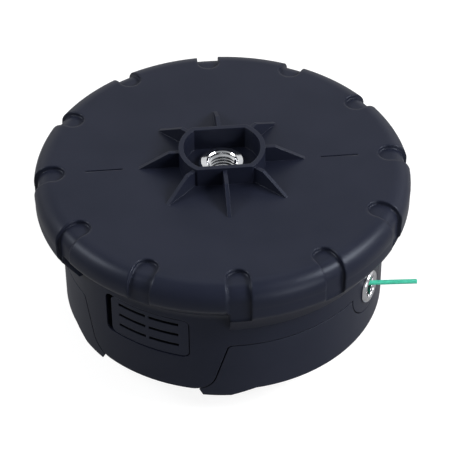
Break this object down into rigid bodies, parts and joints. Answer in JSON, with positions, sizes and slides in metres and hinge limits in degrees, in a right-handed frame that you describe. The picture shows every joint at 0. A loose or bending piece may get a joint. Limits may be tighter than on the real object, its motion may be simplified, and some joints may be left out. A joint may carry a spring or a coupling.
{
  "type": "bump feed trimmer head",
  "caption": "Round bump feed head for a line trimmer: pocketed flange with a gusseted drive collar and steel nut, snap-in cover with release tabs, steel line eyelets, wound spool and bump knob.",
  "frame": {"origin": "on the drive axis, at the ground face of the bump knob", "axes": "+Z along the drive axis towards the machine, +X along one of the two marks on the top face, +Y completes the right-handed frame"},
  "size_m": [0.1298, 0.1298, 0.0731],
  "materials": {
    "housing_plastic": "satin moulded, blue-black",
    "cover_plastic": "satin moulded, blue-black",
    "knob_plastic": "satin moulded, black",
    "spool_plastic": "satin moulded, dark grey",
    "nut_steel": "turned and zinc plated",
    "eyelet_steel": "polished",
    "spring_steel": "drawn wire",
    "line_nylon": "smooth, teal green"
  },
  "bodies": {
    "housing": {"upper_housing": "housing_plastic", "arbor_nut": "nut_steel", "line_eyelet_front": "eyelet_steel", "line_eyelet_rear": "eyelet_steel", "line_end_front": "line_nylon", "line_end_rear": "line_nylon", "lower_cover": "cover_plastic", "feed_spring": "spring_steel"},
    "knob": {"bump_knob": "knob_plastic"},
    "spool": {"spool": "spool_plastic", "wound_line": "line_nylon", "spring_washer": "spring_steel"}
  },
  "joints": [
    {"name": "knob_bump", "type": "slide", "parent": "housing", "child": "knob", "axis": [0, 0, 1], "range_m": [0, 0.006], "stiffness_N_per_m": 2500, "springref_m": -0.012, "deforming": ["feed_spring"]},
    {"name": "spool_feed", "type": "hinge", "parent": "knob", "child": "spool", "pos_m": [0, 0, 0.03], "axis": [0, 0, 1], "range_deg": [0, 30]}
  ],
  "couplings": [
    {"joint": "spool_feed", "follows": "knob_bump", "rad_per_m": 87.2}
  ]
}
